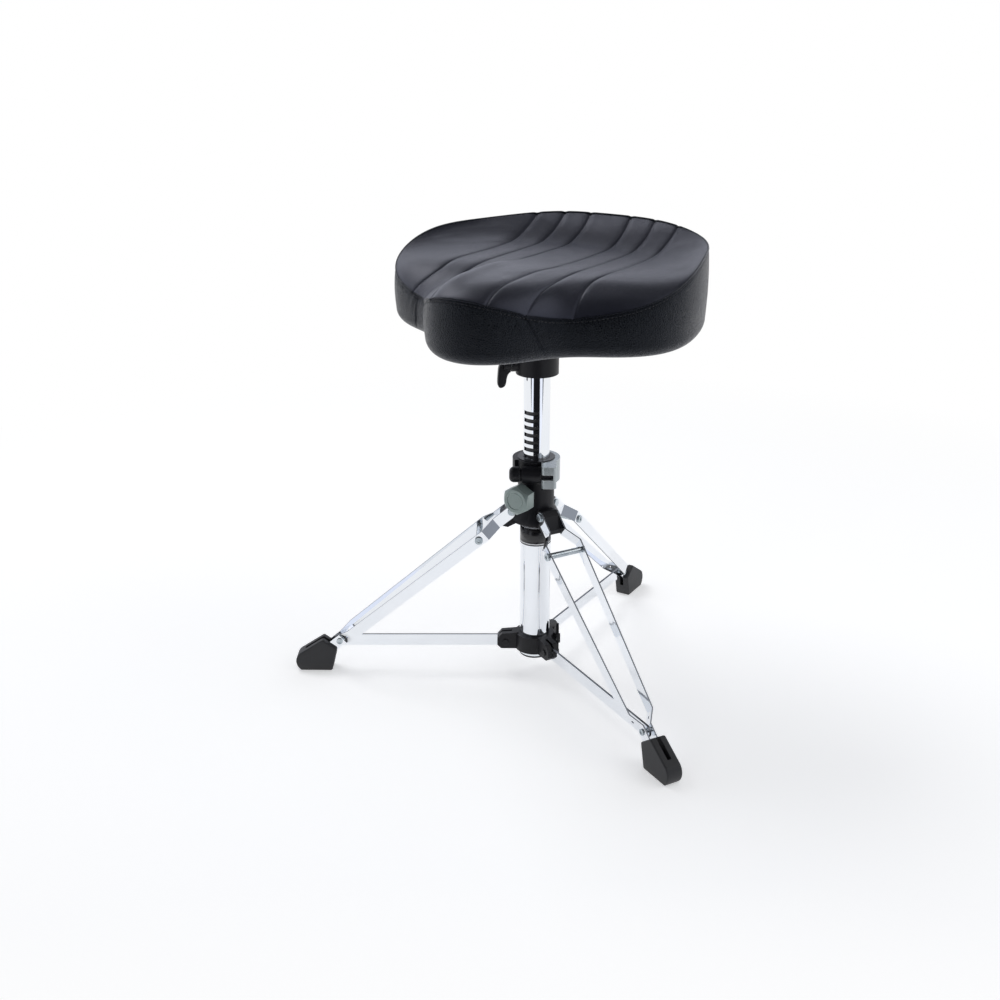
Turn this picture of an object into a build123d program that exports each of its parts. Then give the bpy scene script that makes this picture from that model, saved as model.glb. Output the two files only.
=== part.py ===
from build123d import *
import math
import os

# A folding drum throne: three double-strip legs, level struts, a sliding post and a saddle seat.
# Units are millimetres. The origin is on the floor under the post, with +Z up.
# The far leg points along 60 degrees, the left leg along 180 and the near leg along 300.

LEG_AZIMUTHS = {"left": 180, "near": 300, "far": 60}
FRONT_AZIMUTH = 240

# base tube and its fittings
TUBE_R = 20.0
TUBE_WALL = 1.8
TUBE_BOTTOM = 29.0
TUBE_TOP = 250.0
LABEL_BOTTOM = 190.0
LABEL_TOP = 217.0

# post
POST_R = 17.0
POST_WALL = 1.6
POST_BOTTOM = 140.0
POST_TOP = 455.2
RUNNING_GAP = 0.06

# height slots in the post, counted from the one that faces the knob bolt
KNOB_Z = 263.0
SLOT_PITCH = 9.6
SLOT_HEIGHT = 5.0
SLOT_HALF_WIDTH = 10.2
SLOTS_BELOW = 6
SLOTS_ABOVE = 11

# hub casting
HUB_TOP = 277.0
HUB_NECK_R = 23.5
HUB_SKIRT_R = 32.0
HUB_BOTTOM = 222.0
LUG_HALF = 10.3

# legs: the hinge, the slope and the distances along a leg measured from the hinge
HINGE_R = 31.0
HINGE_Z = 235.4
LEG_SLOPE = 39.7
STRIP_WIDTH = 15.0
STRIP_THICK = 2.0
STRIP_PLAN = [(-7.5, 12.4), (25.9, 12.4), (44.2, 26.0), (279.5, 17.7), (296.5, 6.3), (335.0, 6.3)]
SPACER_AT = 55.3
FOOT_RIVET_AT = 302.0
RIVET_R = 3.0
RIVET_DIMPLE_R = 2.4

# struts and the sliding collar
COLLAR_PIN_R = 39.0
COLLAR_PIN_Z = 44.5
STRUT_WIDTH = 16.0
STRUT_THICK = 3.0
COLLAR_R = 26.0
COLLAR_BOTTOM = 35.0
COLLAR_TOP = 58.0

# rubber feet
FOOT_HALF = 11.0
FOOT_SLOT_HALF = 2.6

# memory lock above the hub
LOCK_BOTTOM = 277.2
LOCK_LOW = 278.0
LOCK_HIGH = 307.0
LOCK_MIDDLE = 293.0
LOCK_INNER_R = 24.0
LOCK_BAND_R = 26.5
LOCK_OUTER_R = 30.5
LOCK_BOLT_Y = -29.0
LOCK_BOLT_R = 4.0

# seat bracket and lever
BRACKET_R = 27.0
BRACKET_BOTTOM = 418.0
FLANGE_BOTTOM = 466.0
LEVER_AZIMUTH = 190
LEVER_Z = 430.0

# seat cushion
SEAT_BASE = 470.0
SEAT_SKIN = 3.0
BOARD_TOP = 486.0
BOARD_INSET = 17.0
# outline radius, and rim height above the base, as cosine series of the angle from the nose
OUTLINE_SERIES = [186.0, -23.4, -1.7, 14.4, 9.0, 8.4, 0.3, -0.9]
RIM_SERIES = [86.6, -32.0, 5.0, 10.4, 6.5, 0.4, 0.7, 1.5]
RIM_REACH = 8
# the saddle curve along the nose direction, for positions in units of 200 mm
SADDLE = (-3.6, 3.3, 18.9)


def around(azimuth, shape):
    """Turn a shape built along +X to point along an azimuth."""
    return Rot(0, 0, azimuth) * shape


def rod(start, end, radius):
    """A round bar between two points."""
    a, b = Vector(*start), Vector(*end)
    return extrude(Plane(origin=a, z_dir=b - a) * Circle(radius), (b - a).length)


def ring(outer, inner, low, high):
    """A plain ring about the post axis."""
    profile = Circle(outer) - Circle(inner)
    return extrude(Plane.XY.offset(low) * profile, high - low)


def block(x, y, z):
    """A box given by its limits along each axis."""
    centre = ((x[0] + x[1]) / 2, (y[0] + y[1]) / 2, (z[0] + z[1]) / 2)
    return Pos(*centre) * Box(x[1] - x[0], y[1] - y[0], z[1] - z[0])


def plate(points, half):
    """A plate in the XZ plane, given its outline and half thickness."""
    return extrude(Plane.XZ * Polygon(*points, align=None), half, both=True)


def hexagon(across_flats, height):
    """A hexagonal bar with two of its flats square to X."""
    return extrude(RegularPolygon(across_flats / math.sqrt(3), 6, rotation=30), height)


def group(shapes):
    """Separate solids kept together in one part."""
    return Compound([solid for shape in shapes for solid in shape.solids()])


def leg_plane():
    """Local leg frame: X runs down the leg, Y is sideways, Z is square to the strips' edges."""
    slope = math.radians(LEG_SLOPE)
    down = (math.cos(slope), 0, -math.sin(slope))
    out = (math.sin(slope), 0, math.cos(slope))
    return Plane(origin=(HINGE_R, 0, HINGE_Z), x_dir=down, z_dir=out)


def on_leg(shape):
    """Place a shape built in the local leg frame."""
    return leg_plane().location * shape


def leg_point(distance):
    """Radius and height of a point on the leg's centreline."""
    slope = math.radians(LEG_SLOPE)
    return HINGE_R + distance * math.cos(slope), HINGE_Z - distance * math.sin(slope)


def half_width(distance):
    """Outer half width of a leg at a distance along it."""
    for (x0, y0), (x1, y1) in zip(STRIP_PLAN, STRIP_PLAN[1:]):
        if x0 <= distance <= x1:
            return y0 + (y1 - y0) * (distance - x0) / (x1 - x0)
    return STRIP_PLAN[-1][1]


# base tube

def base_tube():
    return ring(TUBE_R, TUBE_R - TUBE_WALL, TUBE_BOTTOM, TUBE_TOP)


def tube_end_plug():
    bore = TUBE_R - TUBE_WALL
    plug = Pos(0, 0, TUBE_BOTTOM - 3) * Cylinder(TUBE_R, 3, align=(Align.CENTER, Align.CENTER, Align.MIN))
    plug += Pos(0, 0, TUBE_BOTTOM) * Cylinder(bore, 9, align=(Align.CENTER, Align.CENTER, Align.MIN))
    low_edge = plug.edges().sort_by(Axis.Z)[0]
    return chamfer(low_edge, 1.2)


def label_band():
    return ring(TUBE_R + 0.3, TUBE_R, LABEL_BOTTOM, LABEL_TOP)


# hub casting

def hub_lug():
    outline = [(21, 242.5), (33, 243.4), (39.5, 237.5), (47, 222), (45, 215), (36, 213), (21, 221)]
    lug = plate(outline, LUG_HALF)
    return fillet(lug.edges().filter_by(Axis.Y), 1.5)


def hub_casting():
    outline = [
        (TUBE_R, HUB_TOP),
        (HUB_NECK_R, HUB_TOP),
        (HUB_NECK_R, 243),
        (HUB_SKIRT_R, 227),
        (HUB_SKIRT_R, HUB_BOTTOM),
        (TUBE_R, HUB_BOTTOM),
    ]
    hub = revolve(Plane.XZ * Polygon(*outline, align=None), Axis.Z)
    hub += around(FRONT_AZIMUTH, rod((21, 0, KNOB_Z), (35, 0, KNOB_Z), 11))
    for azimuth in LEG_AZIMUTHS.values():
        hub -= around(azimuth, block((22.8, 60), (-13, 13), (200, 243)))
    for azimuth in LEG_AZIMUTHS.values():
        hub += around(azimuth, hub_lug())
    hub -= Cylinder(TUBE_R, 800)
    for azimuth in LEG_AZIMUTHS.values():
        hub -= around(azimuth, rod((HINGE_R, -20, HINGE_Z), (HINGE_R, 20, HINGE_Z), RIVET_R))
    hub -= around(FRONT_AZIMUTH, rod((10, 0, KNOB_Z), (40, 0, KNOB_Z), 5 + RUNNING_GAP))
    return hub


def post_bushing():
    bushing = ring(TUBE_R, POST_R + RUNNING_GAP, TUBE_TOP, HUB_TOP)
    return bushing - around(FRONT_AZIMUTH, rod((10, 0, KNOB_Z), (40, 0, KNOB_Z), 5 + RUNNING_GAP))


def leg_pins():
    pins = []
    for azimuth in LEG_AZIMUTHS.values():
        pin = rod((HINGE_R, -12.6, HINGE_Z), (HINGE_R, 12.6, HINGE_Z), RIVET_R)
        for side in (-1, 1):
            head = rod((HINGE_R, side * 12.6, HINGE_Z), (HINGE_R, side * 14.6, HINGE_Z), 5.5)
            pin += fillet(head.faces().sort_by(Axis.Y)[-1 if side > 0 else 0].edges(), 1.2)
        pins.append(around(azimuth, pin))
    return group(pins)


# legs

def leg_strips():
    inner = [(x, y - STRIP_THICK) for x, y in STRIP_PLAN]
    plan = Polygon(*STRIP_PLAN, *reversed(inner), align=None)
    strip = extrude(plan, STRIP_WIDTH / 2, both=True)
    low, high = STRIP_PLAN[0][0], STRIP_PLAN[-1][0]
    side = Pos((low + high) / 2, 0, 0) * Rot(90, 0, 0) * extrude(
        SlotOverall(high - low, STRIP_WIDTH), 40, both=True
    )
    strip = strip & side
    strip -= rod((0, 0, 0), (0, 40, 0), RIVET_R + RUNNING_GAP)
    strip -= rod((SPACER_AT, 0, 0), (SPACER_AT, 40, 0), RIVET_R)
    strip -= rod((FOOT_RIVET_AT, 0, 0), (FOOT_RIVET_AT, 40, 0), RIVET_R)
    strip -= rod((287.5, 0, 0), (287.5, 40, 0), 1.6)
    return group([on_leg(strip), on_leg(mirror(strip, Plane.XZ))])


def leg_spacer(strips):
    half = half_width(SPACER_AT)
    bar = rod((SPACER_AT, -half - 2, 0), (SPACER_AT, half + 2, 0), RIVET_R)
    bar += rod((SPACER_AT, 3 - half, 0), (SPACER_AT, half - 3, 0), 4)
    for side in (-1, 1):
        bar += rod((SPACER_AT, side * half, 0), (SPACER_AT, side * (half + 2.2), 0), 5.2)
        bar -= rod((SPACER_AT, side * (half + 1.2), 0), (SPACER_AT, side * (half + 3), 0), RIVET_DIMPLE_R)
    return on_leg(bar) - strips


def leg_rivets(strips):
    rivets = []
    face = half_width(FOOT_RIVET_AT)
    for side in (-1, 1):
        at = (FOOT_RIVET_AT, side * FOOT_SLOT_HALF, 0)
        rivet = rod(at, (FOOT_RIVET_AT, side * face, 0), RIVET_R)
        rivet += rod((FOOT_RIVET_AT, side * face, 0), (FOOT_RIVET_AT, side * (face + 1.6), 0), 4.2)
        rivet -= rod((FOOT_RIVET_AT, side * (face + 0.8), 0), (FOOT_RIVET_AT, side * (face + 3), 0), RIVET_DIMPLE_R)
        rivets.append(on_leg(rivet) - strips)
    return group(rivets)


def leg_foot(strips):
    outline = Polyline((318, 25), (286, 46), (267, 32), (274.5, 0), (317, 0))
    toe = ThreePointArc((317, 0), (323.5, 13), (318, 25))
    foot = extrude(Plane.XZ * make_face(outline + toe), FOOT_HALF, both=True)
    foot = fillet(foot.edges().filter_by(Axis.Y), 3)
    sides = foot.faces().sort_by(Axis.Y)
    foot = fillet(sides[0].edges() + sides[-1].edges(), 2)
    # the strips are pressed into the rubber, and the strut's end swings in the slot between them
    foot -= strips
    slot = block((285, 347), (-FOOT_SLOT_HALF, FOOT_SLOT_HALF), (-15, 60))
    return foot - on_leg(slot)


def strut():
    outer_r, outer_z = leg_point(FOOT_RIVET_AT)
    run = Vector(outer_r - COLLAR_PIN_R, 0, outer_z - COLLAR_PIN_Z)
    centre = (run / 2) + Vector(COLLAR_PIN_R, 0, COLLAR_PIN_Z)
    plane = Plane(origin=centre, x_dir=run, z_dir=(0, 1, 0))
    bar = extrude(plane * SlotCenterToCenter(run.length, STRUT_WIDTH), STRUT_THICK / 2, both=True)
    hole = RIVET_R + RUNNING_GAP
    bar -= rod((COLLAR_PIN_R, -9, COLLAR_PIN_Z), (COLLAR_PIN_R, 9, COLLAR_PIN_Z), hole)
    return bar - rod((outer_r, -9, outer_z), (outer_r, 9, outer_z), hole)


# sliding collar

def collar_ring():
    collar = ring(COLLAR_R, 15, COLLAR_BOTTOM, COLLAR_TOP)
    for azimuth in LEG_AZIMUTHS.values():
        outline = [(21, 59), (44, 57), (50, 50), (50, 40), (45, 35), (21, 35)]
        lug = plate(outline, 8.5)
        lug = fillet(lug.edges().filter_by(Axis.Y), 1.5)
        lug -= block((30.2, 60), (-STRUT_THICK / 2 - 0.2, STRUT_THICK / 2 + 0.2), (20, 70))
        collar += around(azimuth, lug)
    collar += rod((22, 0, 47), (29, 0, 47), 8)
    collar -= Cylinder(TUBE_R + RUNNING_GAP, 400)
    for azimuth in LEG_AZIMUTHS.values():
        pin = rod((COLLAR_PIN_R, -20, COLLAR_PIN_Z), (COLLAR_PIN_R, 20, COLLAR_PIN_Z), RIVET_R)
        collar -= around(azimuth, pin)
    return collar - rod((18, 0, 47), (32, 0, 47), 3.5 + RUNNING_GAP)


def collar_pins():
    pins = []
    for azimuth in LEG_AZIMUTHS.values():
        pin = rod((COLLAR_PIN_R, -8.5, COLLAR_PIN_Z), (COLLAR_PIN_R, 8.5, COLLAR_PIN_Z), RIVET_R)
        for side in (-1, 1):
            start = (COLLAR_PIN_R, side * 8.5, COLLAR_PIN_Z)
            pin += rod(start, (COLLAR_PIN_R, side * 9.9, COLLAR_PIN_Z), 4.4)
        pins.append(around(azimuth, pin))
    return group(pins)


def collar_bolt_shank():
    return rod((TUBE_R + 0.3, 0, 47), (32, 0, 47), 3.5)


def wing(half_length, root_half, thick):
    """A two-eared wing about the X axis, with its back face at X = 0."""
    ear = [(-root_half, 0), (-5, half_length), (0, half_length + 2), (5, half_length), (root_half, 0)]
    arc = Spline(*[(y, z) for y, z in ear[:3]]) + Spline(*[(y, z) for y, z in ear[2:]])
    half = make_face(arc + Line(ear[-1], ear[0]))
    both = half + mirror(half, Plane.XZ)
    return extrude(Plane.YZ * both, thick)


def collar_bolt_wing():
    part = wing(20, 8, 3.4) + rod((0, 0, 0), (5.4, 0, 0), 6.5)
    part = Pos(29.3, 0, 47) * part
    return part - rod((20, 0, 47), (32, 0, 47), 3.5)


# post

def post_slots(first, last):
    slots = []
    for step in range(first, last + 1):
        z = KNOB_Z + step * SLOT_PITCH
        cut = block((8, 20), (-SLOT_HALF_WIDTH, SLOT_HALF_WIDTH), (z - SLOT_HEIGHT / 2, z + SLOT_HEIGHT / 2))
        slots.append(around(FRONT_AZIMUTH, cut))
    return slots


def post_tube():
    tube = ring(POST_R, POST_R - POST_WALL, POST_BOTTOM, POST_TOP)
    return tube - post_slots(-SLOTS_BELOW, SLOTS_ABOVE)


def post_rack():
    low = KNOB_Z - SLOT_PITCH * (SLOTS_BELOW + 1)
    high = KNOB_Z + SLOT_PITCH * (SLOTS_ABOVE + 1)
    return ring(POST_R - POST_WALL, POST_R - POST_WALL - 3, low, high)


def post_end_guide():
    bore = POST_R - POST_WALL
    guide = Pos(0, 0, POST_BOTTOM - 6) * Cylinder(
        TUBE_R - TUBE_WALL - RUNNING_GAP, 6, align=(Align.CENTER, Align.CENTER, Align.MIN)
    )
    guide += Pos(0, 0, POST_BOTTOM) * Cylinder(bore, 10, align=(Align.CENTER, Align.CENTER, Align.MIN))
    return guide


# height knob

def height_knob():
    """Hexagonal body with a round front face, built along +X from the hub boss."""
    start, length = 36.0, 18.0
    body = Plane.YZ.location * hexagon(34, length)
    cone = [(-1, 0), (-1, 22), (length - 6, 22), (length, 15), (length, 0)]
    body = body & revolve(Plane.XZ * Polygon(*cone, align=None), Axis.X)
    body -= rod((length - 1, 0, 0), (length + 1, 0, 0), 11.5)
    body += rod((length - 1, 0, 0), (length - 0.4, 0, 0), 10.5)
    body = Pos(start, 0, KNOB_Z) * body
    body -= rod((30, 0, KNOB_Z), (48, 0, KNOB_Z), 5)
    return around(FRONT_AZIMUTH, body)


def height_knob_bolt():
    return around(FRONT_AZIMUTH, rod((POST_R + 0.3, 0, KNOB_Z), (48, 0, KNOB_Z), 5))


# memory lock

def lock_liner():
    return ring(LOCK_INNER_R, POST_R + RUNNING_GAP, LOCK_BOTTOM, LOCK_HIGH + 1)


def lock_bore():
    return Cylinder(LOCK_INNER_R + 0.05, 900)


def across(left, right, radius):
    """A round bar along X on the lock bolt's axis."""
    return rod((left, LOCK_BOLT_Y, LOCK_MIDDLE), (right, LOCK_BOLT_Y, LOCK_MIDDLE), radius)


def knuckle(radius, low, high):
    return rod((0, LOCK_OUTER_R + 1, low), (0, LOCK_OUTER_R + 1, high), radius)


def lock_body():
    """Black half: a band with a barrel for the bolt across its front, and a tongue beside it."""
    left = block((-60, 1), (-60, 60), (200, 400))
    half = ring(LOCK_BAND_R, LOCK_INNER_R, LOCK_LOW, LOCK_HIGH) & left
    thick = ring(LOCK_OUTER_R, LOCK_INNER_R, LOCK_LOW + 3, LOCK_HIGH)
    half += thick & block((-60, -12), (-13, 40), (200, 400))
    half += across(-18, 5.2, 10.5) + across(-21.5, -18, 8.5)
    half += block((4, 19), (-38, -30), (LOCK_MIDDLE - 3, LOCK_MIDDLE + 3))
    half += knuckle(6, LOCK_LOW, 288) + knuckle(6, 297, LOCK_HIGH)
    half -= knuckle(6.5, 288, 297)
    half -= knuckle(2.5, LOCK_LOW, LOCK_HIGH)
    return half - lock_bore() - across(-30, 10, LOCK_BOLT_R + RUNNING_GAP)


def lock_clamp():
    """Grey half: swings about the rear pin, with two ears that close over the tongue."""
    right = block((1.8, 60), (-60, 60), (200, 400))
    half = ring(LOCK_OUTER_R, LOCK_INNER_R, LOCK_LOW, LOCK_HIGH) & right
    ears = block((6.2, 25), (-42, -20), (LOCK_LOW, LOCK_HIGH))
    half += fillet(ears.edges().filter_by(Axis.Z).sort_by(Axis.Y)[:2], 4)
    half += knuckle(6, 288.1, 296.9)
    half -= knuckle(6.5, LOCK_LOW - 1, 288.1) + knuckle(6.5, 296.9, LOCK_HIGH + 1)
    half -= block((-20, 6.2), (-60, -15), (200, 400))
    half -= block((0, 21), (-60, -27), (LOCK_MIDDLE - 3.3, LOCK_MIDDLE + 3.3))
    half -= knuckle(2.5 + RUNNING_GAP, LOCK_LOW - 1, LOCK_HIGH + 1)
    return half - lock_bore()


def lock_hinge_pin():
    return knuckle(2.5, LOCK_LOW - 0.5, LOCK_HIGH + 1)


def lock_bolt():
    return across(-32, 5, LOCK_BOLT_R)


def lock_knob():
    knob = across(-34.5, -21.8, 10)
    knob = fillet(knob.faces().sort_by(Axis.X)[0].edges(), 6)
    return knob - across(-32, 5, LOCK_BOLT_R)


# seat bracket and lever

def seat_bracket():
    base = (Align.CENTER, Align.CENTER, Align.MIN)
    height = FLANGE_BOTTOM - BRACKET_BOTTOM
    bracket = Pos(0, 0, BRACKET_BOTTOM) * Cylinder(BRACKET_R, height, align=base)
    bracket += Pos(0, 0, FLANGE_BOTTOM - 12) * Cone(BRACKET_R, 38, 12, align=base)
    bracket += around(LEVER_AZIMUTH, rod((22, 0, LEVER_Z), (33, 0, LEVER_Z), 9))
    bore = Pos(0, 0, BRACKET_BOTTOM - 1)
    bracket -= bore * Cylinder(POST_R + RUNNING_GAP, POST_TOP + 1.3 - BRACKET_BOTTOM, align=base)
    bracket -= around(LEVER_AZIMUTH, rod((10, 0, LEVER_Z), (40, 0, LEVER_Z), 4 + RUNNING_GAP))
    return bracket


SCREW_SPOTS = [(x, y) for x in (-50, 50) for y in (-50, 50)]


def screw_holes(radius):
    return [rod((x, y, 440), (x, y, BOARD_TOP + 1), radius) for x, y in SCREW_SPOTS]


def seat_flange():
    plate_outline = RectangleRounded(124, 124, 12)
    flange = extrude(Plane.XY.offset(FLANGE_BOTTOM) * plate_outline, SEAT_BASE - FLANGE_BOTTOM)
    return around(FRONT_AZIMUTH, flange - screw_holes(3))


def seat_screws():
    screws = []
    for x, y in SCREW_SPOTS:
        screw = rod((x, y, FLANGE_BOTTOM), (x, y, BOARD_TOP - 2), 3)
        screw += rod((x, y, FLANGE_BOTTOM - 3.5), (x, y, FLANGE_BOTTOM), 6)
        screws.append(around(FRONT_AZIMUTH, screw))
    return group(screws)


def seat_lever_bolt():
    return around(LEVER_AZIMUTH, rod((POST_R + 0.3, 0, LEVER_Z), (40, 0, LEVER_Z), 4))


def seat_lever_wing():
    """A single curved paddle that hangs down and outwards from the lever bolt."""
    outline = Spline((34, 438), (41, 439), (47.5, 431), (50, 415), (47, 401), (43, 402), (39, 413), (34, 421))
    paddle = extrude(Plane.XZ * make_face(outline + Line((34, 421), (34, 438))), 4.5, both=True)
    paddle = fillet(paddle.faces().sort_by(Axis.Y)[0].edges() + paddle.faces().sort_by(Axis.Y)[-1].edges(), 1.5)
    hub = rod((34, 0, LEVER_Z), (43, 0, LEVER_Z), 8)
    return around(LEVER_AZIMUTH, paddle + hub - rod((20, 0, LEVER_Z), (40, 0, LEVER_Z), 4))


# seat cushion, built with the nose along +X and turned to the front at the end

def series(terms, angle, power=None):
    """Sum of a cosine series, each term weighed by its power if given."""
    weights = power or [1] * len(terms)
    return sum(w * c * math.cos(k * angle) for k, (c, w) in enumerate(zip(terms, weights)))


def seat_outline(inset):
    points = []
    for angle in range(0, 360, 12):
        turn = math.radians(angle)
        radius = series(OUTLINE_SERIES, turn) - inset
        points.append((radius * math.cos(turn), radius * math.sin(turn)))
    return make_face(Spline(*points, periodic=True))


def seat_block(inset, low, round_edge):
    body = extrude(Plane.XY.offset(low) * seat_outline(inset), 200)
    if round_edge:
        body = fillet(body.edges().group_by(Axis.Z)[0], round_edge)
    return body


def top_height(x, y):
    """Height of the seat's top above the base: a saddle inside, meeting the rim height at the edge."""
    angle = math.atan2(y, x)
    reach = min(math.hypot(x, y) / series(OUTLINE_SERIES, angle), 1.0)
    power = [1] + [reach ** (k + RIM_REACH) for k in range(1, len(RIM_SERIES))]
    along = x / 200
    saddle = SADDLE[0] + SADDLE[1] * along + SADDLE[2] * along**2
    return series(RIM_SERIES, angle, power) + saddle * (1 - reach**6)


def under_top(drop):
    """Everything below the seat's top surface, lowered by a given amount."""
    steps = [-240 + 24 * n for n in range(21)]
    grid = [[Vector(x, y, SEAT_BASE + top_height(x, y) - drop) for y in steps] for x in steps]
    surface = Face.make_surface_from_array_of_points(grid)
    return extrude(surface, 260, dir=(0, 0, -1))


def export(part, name):
    export_step(part, f"parts/{name}.step")


def export_seat():
    outer = seat_block(0, SEAT_BASE, 20)
    inner = seat_block(SEAT_SKIN, SEAT_BASE + 2, 18)
    cloth = extrude(Plane.XY.offset(SEAT_BASE) * seat_outline(30), 2)
    below_top = under_top(0)
    below_skin = under_top(SEAT_SKIN)
    below_welt = under_top(2 * SEAT_SKIN)
    slab = block((-300, 300), (-300, 300), (400, BOARD_TOP))
    board = extrude(Plane.XY.offset(SEAT_BASE + 2) * seat_outline(BOARD_INSET), BOARD_TOP - SEAT_BASE - 2)

    top_cover = (outer & below_top) - below_skin
    welt = ((seat_block(-1.5, SEAT_BASE, 0) & below_skin) - below_welt) - inner
    side_band = ((outer & below_welt) - inner) - cloth
    filling = inner & below_skin
    foam = filling - slab

    export(around(FRONT_AZIMUTH, top_cover), "seat_top_cover")
    export(around(FRONT_AZIMUTH, welt), "seat_welt")
    export(around(FRONT_AZIMUTH, side_band), "seat_side_band")
    export(around(FRONT_AZIMUTH, board - screw_holes(3)), "seat_board")
    export(around(FRONT_AZIMUTH, foam), "seat_foam")
    export(around(FRONT_AZIMUTH, cloth - screw_holes(3)), "seat_dust_cloth")


os.makedirs("parts", exist_ok=True)

export(base_tube(), "base_tube")
export(tube_end_plug(), "tube_end_plug")
export(label_band(), "label_band")
export(hub_casting(), "hub_casting")
export(post_bushing(), "post_bushing")
export(leg_pins(), "leg_pins")

strips_at_x = leg_strips()
spacer_at_x = leg_spacer(strips_at_x)
rivets_at_x = leg_rivets(strips_at_x)
foot_at_x = leg_foot(strips_at_x)
strut_at_x = strut()
for side_name, leg_azimuth in LEG_AZIMUTHS.items():
    export(around(leg_azimuth, strips_at_x), f"leg_{side_name}_strips")
    export(around(leg_azimuth, spacer_at_x), f"leg_{side_name}_spacer")
    export(around(leg_azimuth, rivets_at_x), f"leg_{side_name}_rivets")
    export(around(leg_azimuth, foot_at_x), f"leg_{side_name}_foot")
    export(around(leg_azimuth, strut_at_x), f"strut_{side_name}")

export(collar_ring(), "collar_ring")
export(collar_pins(), "collar_pins")
export(collar_bolt_shank(), "collar_bolt_shank")
export(collar_bolt_wing(), "collar_bolt_wing")

export(post_tube(), "post_tube")
export(post_rack(), "post_rack")
export(post_end_guide(), "post_end_guide")
export(height_knob(), "height_knob")
export(height_knob_bolt(), "height_knob_bolt")

export(lock_liner(), "lock_liner")
export(lock_body(), "lock_body")
export(lock_clamp(), "lock_clamp")
export(lock_hinge_pin(), "lock_hinge_pin")
export(lock_bolt(), "lock_bolt")
export(lock_knob(), "lock_knob")

export(seat_bracket(), "seat_bracket")
export(seat_flange(), "seat_flange")
export(seat_screws(), "seat_screws")
export(seat_lever_bolt(), "seat_lever_bolt")
export(seat_lever_wing(), "seat_lever_wing")
export_seat()
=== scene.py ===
import math

import bpy
import numpy as np
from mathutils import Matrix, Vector
from mathutils.kdtree import KDTree


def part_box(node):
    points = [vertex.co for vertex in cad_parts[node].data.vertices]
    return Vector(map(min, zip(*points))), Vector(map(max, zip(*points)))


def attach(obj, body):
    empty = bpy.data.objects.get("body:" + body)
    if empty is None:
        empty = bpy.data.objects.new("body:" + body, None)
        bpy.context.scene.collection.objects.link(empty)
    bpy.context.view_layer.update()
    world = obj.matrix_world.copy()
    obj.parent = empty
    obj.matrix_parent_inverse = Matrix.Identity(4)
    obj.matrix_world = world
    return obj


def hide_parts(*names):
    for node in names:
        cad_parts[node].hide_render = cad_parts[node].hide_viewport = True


# The looks of a folding drum throne: leather cushion, chrome stand, castings and studio.
# Lengths of the cushion are in millimetres unless marked, in its own frame: U runs to the nose, V to
# its left.

MM = 0.001
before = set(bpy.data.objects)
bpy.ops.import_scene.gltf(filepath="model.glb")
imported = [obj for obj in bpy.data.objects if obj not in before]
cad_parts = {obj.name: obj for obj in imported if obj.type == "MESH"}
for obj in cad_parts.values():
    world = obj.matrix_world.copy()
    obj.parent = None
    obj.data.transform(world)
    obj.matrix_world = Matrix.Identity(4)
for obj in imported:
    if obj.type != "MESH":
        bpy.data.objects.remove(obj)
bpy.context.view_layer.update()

# cushion shape: outline radius and rim height as cosine series of the angle from the nose
NOSE_AZIMUTH = math.radians(240)
OUTLINE_SERIES = [186.0, -23.4, -1.7, 14.4, 9.0, 8.4, 0.3, -0.9]
RIM_SERIES = [86.6, -32.0, 5.0, 10.4, 6.5, 0.4, 0.7, 1.5]
RIM_REACH = 8
SADDLE = (-3.6, 3.3, 18.9)
# rises of the top over the plain saddle: height, place along the seat, and spread
MIDDLE_RISE = (3.5, 10, 75)
REAR_SINK = (-4.5, -140, 40)
POMMEL = (4.0, 68, 42)
POMMEL_HALF_WIDTH = 50
REAR_CORNERS = (8, -160, 35)
REAR_CORNER_REACH = 105
# how much the top sinks towards each cut-out beside the nose: angle and depth
CUTOUT_DIPS = ((math.radians(-46), 34.0), (math.radians(46), 10.0))
CUTOUT_SPREAD = math.radians(24)
# the board's underside lies on the dust cloth, which is the base of the cushion
CLOTH_THICKNESS = 2
SEAT_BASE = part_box("seat_board")[0].z / MM - CLOTH_THICKNESS

# the nose bulges over one inner channel, and the leather beyond it sinks towards the cut-out
STEP_DROP = 8.0
STEP_BULGE = 4.0
STEP_BULGE_SPREAD = 14
STEP_EDGE = 3.5
STEP_FADE = 45
STEP_START = -60.0
STEP_FULL = 90.0

# channels sewn along the seat: distance from its middle line, and how much that grows to the nose
CHANNEL_OFFSETS = (32.8, 66.8, 102.3)
CHANNEL_FLARE = (3.4, 0.6, -0.5)
FLARE_LENGTH = 200
# the outer channel on one side swings out to meet the seam in the cut-out
CHANNEL_SWING = 22.0
SWING_START = 52
SWING_LENGTH = 34
SWING_CAP = 1.3
# each channel is a thin stitched crease inside a soft valley: depth and half width of each
CREASE = (1.5, 1.3)
SOFT_VALLEY = (1.1, 5.0)

# rim seam, side and bottom edge
SEAM_GROOVE = 0.8
SEAM_TUCK = 2.2
SIDE_BULGE = 1.6
HEM_THICKNESS = 0.5
TOP_STITCH_DROP = 4.5
BOTTOM_ROUND = 19.0
UNDER_RISE = 0.9
UNDER_REACH = 40.0
EDGE_DROP = 1.0
# the two seams down the side, each from an angle at the rim to an angle at the bottom
SIDE_SEAMS = ((math.radians(24), math.radians(35)), (math.radians(-50), math.radians(-55)))
PUCKER = 0.5

# cloth simulation: the pad starts a little small, and its pressure swells it between the sewn lines
PAD_SHRINK = 1.5
PAD_SWELL_CAP = 2.2
# in metres, as Blender's modifiers take it
PAD_VOXEL = 0.005
CLOTH_STEPS = 20
MOVE_SMOOTHING = 14
RIM_HOLD = 12
CHANNEL_HOLD = 5
# a point of the fine mesh moves as its nearest pad points do, weighed by distance in metres
SWELL_NEIGHBOURS = 14
SWELL_SPREAD = 0.006

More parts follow.
